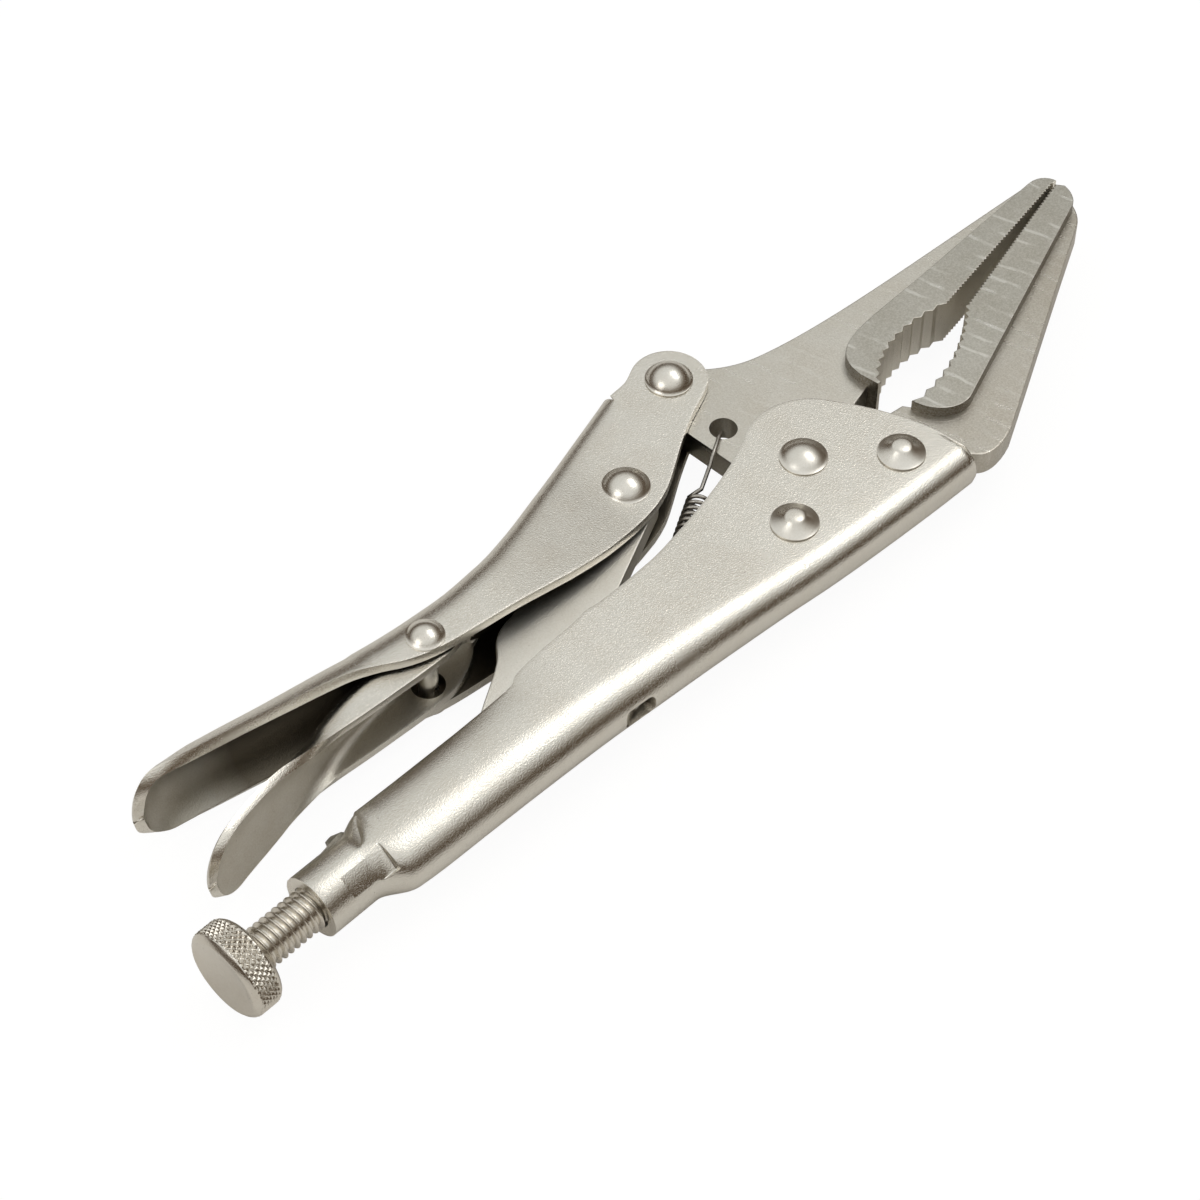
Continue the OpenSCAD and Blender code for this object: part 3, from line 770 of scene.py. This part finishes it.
def jaw_spring_wire(name):
    """Wire from the handle's tab, through the coil, to the hook in the moving jaw. The coil fills
    the line from start to end between the shares first and last."""
    start, end = Vector((-43.1, -9.3, 0)), Vector((-7.2, 9.9, 0))
    first, last = 0.24, 0.845
    along = (end - start).normalized()
    side = Vector((-along.y, along.x, 0))
    up = Vector((0, 0, 1))

    def on(t, degrees, r):
        w = math.radians(degrees)
        return start.lerp(end, t) + r * (math.cos(w) * side + math.sin(w) * up)

    points = [Vector((-44.4, -11.05, 0)), Vector((-43.8, -11.0, 0)), Vector((-43.35, -10.65, 0)),
              Vector((-43.12, -9.9, 0)), on(0.04, 0, 0), on(0.12, 0, 0), on(first - 0.025, 0, 0.15),
              on(first - 0.008, -40, 0.75)]
    for k in range(SPRING_TURNS * STEPS_PER_TURN + 1):
        turn = k / STEPS_PER_TURN
        points.append(on(mix(first, last, turn / SPRING_TURNS), 360 * turn, SPRING_R))
    points += [on(last + 0.012, 50, 1.0), on(last + 0.03, 80, 0.8), Vector((-8.4, 9.2, 1.6)),
               Vector((-7.6, 9.6, 2.2)), Vector((-6.8, 10, 2.45)), Vector((-5.6, 10.6, 2.5)),
               Vector((-4.4, 11.3, 2.45)), Vector((-3.6, 11.7, 2.3)), Vector((-3.1, 11.95, 1.9)),
               Vector((-2.8, 12.1, 1.3)), Vector((-2.6, 12.2, 0.6))]
    curve = bpy.data.curves.new(name, "CURVE")
    curve.dimensions = "3D"
    curve.bevel_depth = WIRE_R * MM
    curve.bevel_resolution = 2
    curve.use_fill_caps = True
    spline = curve.splines.new("POLY")
    spline.points.add(len(points) - 1)
    for p, q in zip(spline.points, points):
        p.co = (*at(*q), 1)
    piece = bpy.data.objects.new(name, curve)
    bpy.context.scene.collection.objects.link(piece)
    choose(piece)
    bpy.ops.object.convert(target="MESH")
    piece = named(name)
    smooth(piece, 50)
    return piece


jaw_spring = jaw_spring_wire("jaw_spring_coil")


# ---------- finishes ----------

def node_group(name, inputs, outputs):
    """Empty shader group with the given float or colour inputs and outputs."""
    group = bpy.data.node_groups.new(name, "ShaderNodeTree")
    for label, kind, value in inputs:
        socket = group.interface.new_socket(label, in_out="INPUT", socket_type=kind)
        if value is not None:
            socket.default_value = value
    for label, kind in outputs:
        group.interface.new_socket(label, in_out="OUTPUT", socket_type=kind)
    return group, group.nodes.new("NodeGroupInput"), group.nodes.new("NodeGroupOutput")


def noise(tree, vector, scale, detail=3.0, rough=0.55):
    node = tree.nodes.new("ShaderNodeTexNoise")
    node.inputs["Scale"].default_value = scale
    node.inputs["Detail"].default_value = detail
    node.inputs["Roughness"].default_value = rough
    tree.links.new(vector, node.inputs["Vector"])
    return node.outputs["Fac"]


def spread(tree, value, low, high, to_low=0.0, to_high=1.0):
    node = tree.nodes.new("ShaderNodeMapRange")
    node.inputs["From Min"].default_value = low
    node.inputs["From Max"].default_value = high
    node.inputs["To Min"].default_value = to_low
    node.inputs["To Max"].default_value = to_high
    tree.links.new(value, node.inputs["Value"])
    return node.outputs["Result"]


def blend_colour(tree, fac, a, b, mode="MIX"):
    node = tree.nodes.new("ShaderNodeMix")
    node.data_type = "RGBA"
    node.blend_type = mode
    for socket, value in ((node.inputs[0], fac), (node.inputs[6], a), (node.inputs[7], b)):
        if isinstance(value, (float, tuple)):
            socket.default_value = value
        else:
            tree.links.new(value, socket)
    return node.outputs[2]


def maths(tree, operation, a, b):
    node = tree.nodes.new("ShaderNodeMath")
    node.operation = operation
    for socket, value in zip(node.inputs, (a, b)):
        if isinstance(value, (int, float)):
            socket.default_value = value
        else:
            tree.links.new(value, socket)
    return node.outputs[0]


def plate_group():
    """Nickel plate: cloudy tone, brown tarnish in patches, dark specks, painted glints and fine blasted
    grain.
    """
    group, given, result = node_group(
        "nickel_plate",
        [("Position", "NodeSocketVector", None), ("Colour", "NodeSocketColor", (0.7, 0.68, 0.62, 1)),
         ("Tarnish", "NodeSocketFloat", 0.3), ("Roughness", "NodeSocketFloat", 0.35),
         ("Grain", "NodeSocketFloat", 1.0)],
        [("Colour", "NodeSocketColor"), ("Roughness", "NodeSocketFloat"), ("Height", "NodeSocketFloat")])
    where = given.outputs["Position"]
    cloud = spread(group, noise(group, where, 60, 4), 0.35, 0.68)
    patch = spread(group, noise(group, where, 140, 6, 0.65), 0.4, 0.8)
    speck = spread(group, noise(group, where, 2600, 2), 0.66, 0.74)
    grain = noise(group, where, 5000, 2, 0.6)
    dark = blend_colour(group, 1.0, given.outputs["Colour"], (0.80, 0.74, 0.66, 1.0), "MULTIPLY")
    tone = blend_colour(group, maths(group, "MULTIPLY", patch, given.outputs["Tarnish"]),
                        given.outputs["Colour"], dark)
    tone = blend_colour(group, maths(group, "MULTIPLY", cloud, 0.12), tone, (0.9, 0.89, 0.86, 1.0))
    # Painted glints: fine near-white specks in the colour stand in for the sparkle of the blasted grain
    painted_glints = spread(group, noise(group, where, 3900, 2, 0.6), 0.38, 0.66)
    tone = blend_colour(group, maths(group, "MULTIPLY", painted_glints, 0.2), tone, (1.0, 0.99, 0.95, 1.0))
    tone = blend_colour(group, maths(group, "MULTIPLY", speck, 0.25), tone, (0.35, 0.31, 0.26, 1.0))
    rough = maths(group, "ADD", given.outputs["Roughness"],
                  spread(group, noise(group, where, 90, 5), 0.3, 0.7, -0.05, 0.06))
    rough = maths(group, "ADD", rough, maths(group, "MULTIPLY", speck, 0.1))
    group.links.new(tone, result.inputs["Colour"])
    group.links.new(rough, result.inputs["Roughness"])
    group.links.new(maths(group, "MULTIPLY", grain, given.outputs["Grain"]), result.inputs["Height"])
    return group


def streak_group():
    """Machining marks across the jaws' faces, a few millimetres apart."""
    group, given, result = node_group(
        "machining_streaks", [("Position", "NodeSocketVector", None)], [("Mask", "NodeSocketFloat")])
    turn = group.nodes.new("ShaderNodeMapping")
    turn.inputs["Rotation"].default_value = (0, 0, math.radians(-12))
    group.links.new(given.outputs["Position"], turn.inputs["Vector"])
    wave = group.nodes.new("ShaderNodeTexWave")
    wave.inputs["Scale"].default_value = 112
    wave.inputs["Distortion"].default_value = 2.2
    wave.inputs["Detail"].default_value = 2
    wave.inputs["Detail Scale"].default_value = 1.6
    group.links.new(turn.outputs["Vector"], wave.inputs["Vector"])
    line = spread(group, wave.outputs["Fac"], 0.86, 0.99)
    some = spread(group, noise(group, given.outputs["Position"], 190, 2), 0.42, 0.56)
    group.links.new(maths(group, "MULTIPLY", line, some), result.inputs["Mask"])
    return group


NICKEL = plate_group()
STREAKS = streak_group()


def plated(name, colour, tarnish, roughness, grain, bump, streaks=0.0, painted_shade_span=None):
    """Plated metal. The optional x span, (from, to) in millimetres, paints shade into a channel: its
    colour goes near black towards the channel's depth.
    """
    material = bpy.data.materials.new(name)
    material.use_nodes = True
    tree = material.node_tree
    shader = tree.nodes["Principled BSDF"]
    shader.inputs["Metallic"].default_value = 1.0
    where = tree.nodes.new("ShaderNodeTexCoord").outputs["Object"]
    plate = tree.nodes.new("ShaderNodeGroup")
    plate.node_tree = NICKEL
    plate.inputs["Colour"].default_value = (*colour, 1)
    plate.inputs["Tarnish"].default_value = tarnish
    plate.inputs["Roughness"].default_value = roughness
    plate.inputs["Grain"].default_value = grain
    tree.links.new(where, plate.inputs["Position"])
    tone, rough = plate.outputs["Colour"], plate.outputs["Roughness"]
    if streaks:
        marks = tree.nodes.new("ShaderNodeGroup")
        marks.node_tree = STREAKS
        tree.links.new(where, marks.inputs["Position"])
        tone = blend_colour(tree, maths(tree, "MULTIPLY", marks.outputs["Mask"], streaks), tone,
                            (0.83, 0.82, 0.78, 1.0))
        rough = maths(tree, "ADD", rough, maths(tree, "MULTIPLY", marks.outputs["Mask"], -0.08))
    # Painted shade: the colour goes near black along x towards the depth of a channel
    if painted_shade_span:
        along = tree.nodes.new("ShaderNodeSeparateXYZ")
        tree.links.new(where, along.inputs[0])
        deep = spread(tree, along.outputs["X"], at(painted_shade_span[0], 0).x, at(painted_shade_span[1], 0).x)
        tone = blend_colour(tree, deep, tone, (0.13, 0.115, 0.09, 1.0))
    tree.links.new(tone, shader.inputs["Base Color"])
    tree.links.new(rough, shader.inputs["Roughness"])
    relief = tree.nodes.new("ShaderNodeBump")
    relief.inputs["Strength"].default_value = bump
    relief.inputs["Distance"].default_value = 0.045 * MM
    tree.links.new(plate.outputs["Height"], relief.inputs["Height"])
    tree.links.new(relief.outputs["Normal"], shader.inputs["Normal"])
    return material


blasted_sheet = plated("blasted_nickel_sheet", (0.75, 0.725, 0.665), 0.4, 0.225, 1.0, 1.0)
jaw_nickel = plated("jaw_nickel", (0.61, 0.587, 0.527), 0.45, 0.33, 1.0, 0.9, 0.15)
# Darker copy of jaw_nickel for the fixed jaw's tail: its extra tarnish patches are the plate's own, its
# darker colour is painted shade
tarnish_and_shade_jaw_nickel = plated("jaw_nickel_tarnish_and_painted_shade", (0.48, 0.452, 0.393), 0.7, 0.33, 1.0, 0.9, 0.15)
nose_nickel = plated("machined_nose_nickel", (0.425, 0.41, 0.36), 0.4, 0.36, 0.8, 0.8, 0.5)
# Painted shade: the inside of the lever handle's channel is a little darker and goes near black towards
# its depth
lever_channel_shade = plated("painted_shade_lever_channel", (0.68, 0.655, 0.59), 0.6, 0.36, 1.0, 1.0, painted_shade_span=(-98, -84))
# Painted shade: the inside of the fixed handle's channel is coloured dark for the shade within it
handle_channel_shade = plated("painted_shade_handle_channel", (0.36, 0.34, 0.30), 0.6, 0.42, 1.0, 0.8)
release_inside = plated("release_inside_nickel", (0.74, 0.71, 0.64), 0.6, 0.36, 1.0, 1.0)
# Painted highlight: the sheets' rims are coloured paler than the sheet for the bright line along their
# rounded edges
rim_painted_highlight = plated("rim_painted_highlight", (0.93, 0.9, 0.83), 0.35, 0.26, 1.0, 0.8)
# Painted shade: the noses' outer side faces are coloured near black for the shade along their edges
nose_wall_shade = plated("nose_wall_painted_shade", (0.15, 0.125, 0.09), 0.8, 0.42, 1.0, 0.9)
# Painted reflection: the tooth faces along the grip are coloured near white, as if they reflected the
# bright floor
grip_painted_reflection = plated("grip_painted_reflection", (0.95, 0.92, 0.85), 0.2, 0.36, 1.0, 0.8)
rivet_nickel = plated("satin_rivet_nickel", (0.8, 0.775, 0.715), 0.5, 0.28, 0.7, 0.4)
screw_nickel = plated("bright_screw_nickel", (0.72, 0.68, 0.61), 0.5, 0.24, 0.7, 0.4)
link_nickel = plated("stamped_link_nickel", (0.78, 0.755, 0.69), 0.3, 0.38, 1.0, 1.0)
spring_steel = plated("spring_wire_steel", (0.34, 0.32, 0.29), 0.3, 0.3, 0.5, 0.2)


def finish_piece(piece, body, material, slot, *nodes, also=()):
    """Materials, in the order of the piece's own slots, then what it rides on and replaces."""
    slots = piece.data.materials
    while len(slots) < 1 + len(also):
        slots.append(None)
    for k, layer in enumerate((material, *also)):
        slots[k] = layer
    if body:
        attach(piece, body)
    if nodes:
        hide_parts(*nodes)


finish_piece(fixed_handle, "frame", blasted_sheet, "plated_sheet", "fixed_handle",
             also=(handle_channel_shade, rim_painted_highlight))
finish_piece(spring_tab, "frame", blasted_sheet, "plated_sheet")
finish_piece(fixed_nose, "frame", nose_nickel, "jaw_steel", "fixed_jaw", also=(nose_wall_shade, grip_painted_reflection))
finish_piece(fixed_flank, "frame", tarnish_and_shade_jaw_nickel, "jaw_steel")
finish_piece(moving_nose, "upper_jaw", nose_nickel, "jaw_steel", "moving_jaw",
             also=(nose_wall_shade, grip_painted_reflection))
finish_piece(moving_flank, "upper_jaw", jaw_nickel, "jaw_steel")
finish_piece(lever_handle, "lever", blasted_sheet, "plated_sheet", "lever_handle",
             also=(lever_channel_shade, rim_painted_highlight))
finish_piece(toggle_link, "toggle", link_nickel, "plated_sheet", "toggle_link")
finish_piece(release_lever, "release", blasted_sheet, "plated_sheet", "release_lever",
             also=(release_inside, rim_painted_highlight))
finish_piece(tongue, "release", blasted_sheet, "plated_sheet")
finish_piece(screw_knob, "screw", screw_nickel, "screw_steel", "adjusting_screw")
finish_piece(screw_thread, "screw", screw_nickel, "screw_steel")
finish_piece(screw_core, "screw", screw_nickel, "screw_steel")
for node, body, piece in rivets:
    finish_piece(piece, body, rivet_nickel, "bright_rivet", node)
finish_piece(jaw_spring, None, spring_steel, "spring_wire", "jaw_spring")
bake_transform(jaw_spring)


# ---------- studio ----------

FLOOR_GAP = 0.2
WARM_WHITE = (1, 0.98, 0.95)


def studio_floor():
    """Pale paper that mostly glows to the camera and still takes the tool's shadow."""
    deselect()
    bpy.ops.mesh.primitive_plane_add(size=6, location=(0, 0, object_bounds()[0][2] - FLOOR_GAP * MM))
    floor = named("studio_floor")
    material = bpy.data.materials.new("pale_floor")
    material.use_nodes = True
    tree = material.node_tree
    paper = tree.nodes["Principled BSDF"]
    paper.inputs["Base Color"].default_value = (0.86, 0.84, 0.81, 1)
    paper.inputs["Roughness"].default_value = 0.9
    glow = tree.nodes.new("ShaderNodeEmission")
    glow.inputs["Color"].default_value = (1, 1, 1, 1)
    glow.inputs["Strength"].default_value = 1.07
    path = tree.nodes.new("ShaderNodeLightPath")
    seen = maths(tree, "MAXIMUM", path.outputs["Is Camera Ray"], path.outputs["Is Transmission Ray"])
    mix = tree.nodes.new("ShaderNodeMixShader")
    tree.links.new(maths(tree, "MULTIPLY", seen, 0.88), mix.inputs[0])
    tree.links.new(paper.outputs[0], mix.inputs[1])
    tree.links.new(glow.outputs[0], mix.inputs[2])
    tree.links.new(mix.outputs[0], tree.nodes["Material Output"].inputs["Surface"])
    floor.data.materials.append(material)
    floor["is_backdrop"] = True


def studio_world():
    """Room that is white to the camera and, in reflections, dark at the sides and pale above."""
    world = bpy.data.worlds.new("studio")
    bpy.context.scene.world = world
    world.use_nodes = True
    tree = world.node_tree
    back = tree.nodes["Background"]
    place = tree.nodes.new("ShaderNodeTexCoord")
    split = tree.nodes.new("ShaderNodeSeparateXYZ")
    tree.links.new(place.outputs["Generated"], split.inputs[0])
    ramp = tree.nodes.new("ShaderNodeValToRGB")
    stops = ramp.color_ramp.elements
    stops[0].position, stops[0].color = 0.0, (0.5, 0.48, 0.45, 1)
    stops[1].position, stops[1].color = 1.0, (0.85, 0.85, 0.83, 1)
    for height, colour in ((0.04, (0.07, 0.045, 0.022, 1)), (0.32, (0.06, 0.036, 0.018, 1)),
                           (0.52, (0.2, 0.165, 0.125, 1)), (0.74, (0.76, 0.76, 0.735, 1))):
        stop = stops.new(height)
        stop.color = colour
    tree.links.new(split.outputs["Z"], ramp.inputs["Fac"])
    bright_side = maths(tree, "MULTIPLY", spread(tree, split.outputs["Y"], 0.05, 0.5),
                        spread(tree, split.outputs["Z"], 0.3, 0.62))
    room = blend_colour(tree, bright_side, ramp.outputs["Color"], (0.74, 0.74, 0.715, 1.0))
    path = tree.nodes.new("ShaderNodeLightPath")
    tone = blend_colour(tree, path.outputs["Is Camera Ray"], room, (1.0, 1.0, 1.0, 1.0))
    tree.links.new(tone, back.inputs["Color"])


def softbox(name, place, size, watts):
    """Area lamp that faces the origin."""
    lamp = bpy.data.lights.new(name, "AREA")
    lamp.shape = "RECTANGLE"
    lamp.size, lamp.size_y = size
    lamp.energy = watts
    lamp.color = WARM_WHITE
    thing = bpy.data.objects.new(name, lamp)
    thing.location = place
    thing.rotation_euler = (-Vector(place)).to_track_quat("-Z", "Y").to_euler()
    bpy.context.scene.collection.objects.link(thing)


studio_floor()
studio_world()
softbox("bend_softbox", (0.39, -0.06, 0.75), (0.5, 0.28), 0.85)
softbox("left_softbox", (-0.65, 0.1, 0.6), (0.4, 0.4), 0.7)

# Camera: 100 mm lens, 50.5 degrees above the floor
camera = bpy.data.objects.new("camera", bpy.data.cameras.new("camera"))
camera.data.lens = 100
camera.data.sensor_width = 36
camera.data.clip_start = 0.01
target = at(-36.7, 2.4, 3.6)
camera.location = target + Vector((-196.8, -190.1, 331.9)) * MM
camera.rotation_euler = (target - camera.location).to_track_quat("-Z", "Y").to_euler()
bpy.context.scene.collection.objects.link(camera)
bpy.context.scene.camera = camera
bpy.context.scene.view_settings.view_transform = "Standard"
